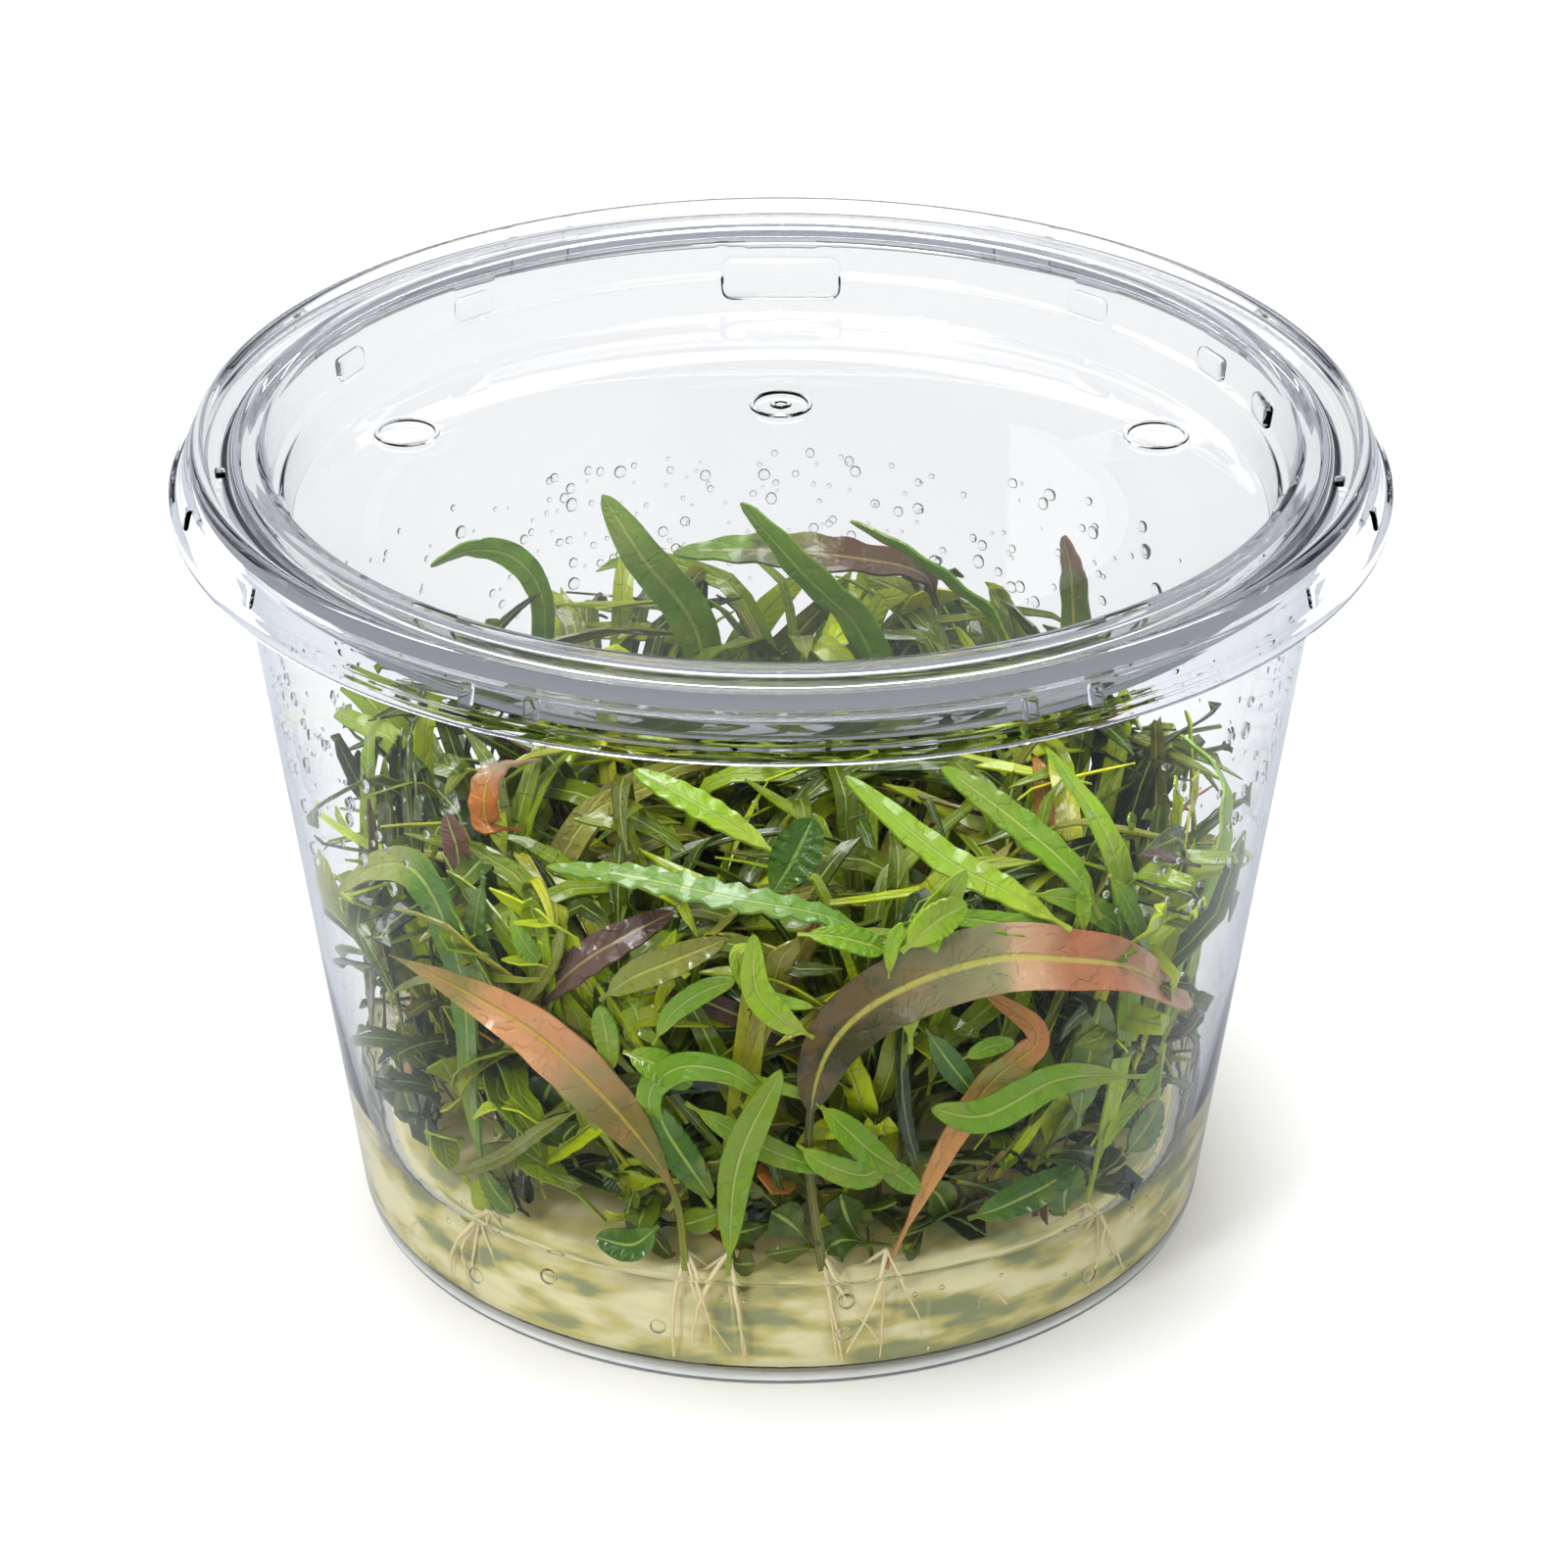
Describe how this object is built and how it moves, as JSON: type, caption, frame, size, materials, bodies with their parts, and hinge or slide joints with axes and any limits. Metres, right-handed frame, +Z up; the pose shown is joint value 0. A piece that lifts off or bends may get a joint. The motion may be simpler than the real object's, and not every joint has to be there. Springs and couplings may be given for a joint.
{
  "type": "tissue culture cup of hygrophila lancea",
  "caption": "Clear tapered cup with a press-on recessed lid, holding narrow-leaved water plants that stand in a bed of pale jelly.",
  "frame": {"origin": "centre of the cup's base, on the surface that it stands on", "axes": "+Z up along the cup's axis, -Y towards the side that the picture shows"},
  "size_m": [0.117, 0.117, 0.0824],
  "materials": {
    "cup_plastic": "clear moulded plastic, polished",
    "lid_plastic": "clear moulded plastic, polished",
    "agar_gel": "pale yellow clear jelly, wet",
    "bronze_leaf": "wet living leaf, waxy sheen",
    "brown_leaf": "wet living leaf, waxy sheen",
    "dark_leaf": "wet living leaf, waxy sheen",
    "green_leaf": "wet living leaf, waxy sheen",
    "light_leaf": "wet living leaf, waxy sheen",
    "orange_leaf": "wet living leaf, waxy sheen",
    "red_leaf": "wet living leaf, waxy sheen"
  },
  "bodies": {
    "root": {"cup": "cup_plastic", "lid": "lid_plastic", "agar_gel": "agar_gel", "plantlet_01": "green_leaf", "plantlet_02": "green_leaf", "plantlet_03": "green_leaf", "plantlet_04": "green_leaf", "plantlet_05": "green_leaf", "plantlet_06": "green_leaf", "plantlet_07": "green_leaf", "plantlet_08": "green_leaf", "plantlet_09": "green_leaf", "plantlet_10": "green_leaf", "plantlet_11": "green_leaf", "plantlet_12": "green_leaf", "plantlet_13": "green_leaf", "plantlet_14": "green_leaf", "leaf_arch_back_left": "green_leaf", "leaf_back_level": "green_leaf", "leaf_bronze_arch": "bronze_leaf", "leaf_curled_front": "green_leaf", "leaf_curled_orange": "orange_leaf", "leaf_dark_wet": "dark_leaf", "leaf_green_right_front": "green_leaf", "leaf_light_spoon": "light_leaf", "leaf_orange_bent": "orange_leaf", "leaf_orange_left": "orange_leaf", "leaf_purple_brown": "brown_leaf", "leaf_ragged_top": "green_leaf", "leaf_red_tip_right": "red_leaf", "leaf_right_edge": "green_leaf", "leaf_rim_front": "green_leaf", "leaf_rim_left": "green_leaf", "leaf_rim_middle": "green_leaf", "leaf_rim_right": "green_leaf", "leaf_serrated_front": "green_leaf", "leaf_small_curl": "green_leaf", "leaf_tall_back_left": "green_leaf", "leaf_tall_centre": "green_leaf", "leaf_tall_right": "green_leaf", "leaf_thin_brown": "brown_leaf", "leaf_upright_left": "green_leaf"}
  },
  "joints": []
}
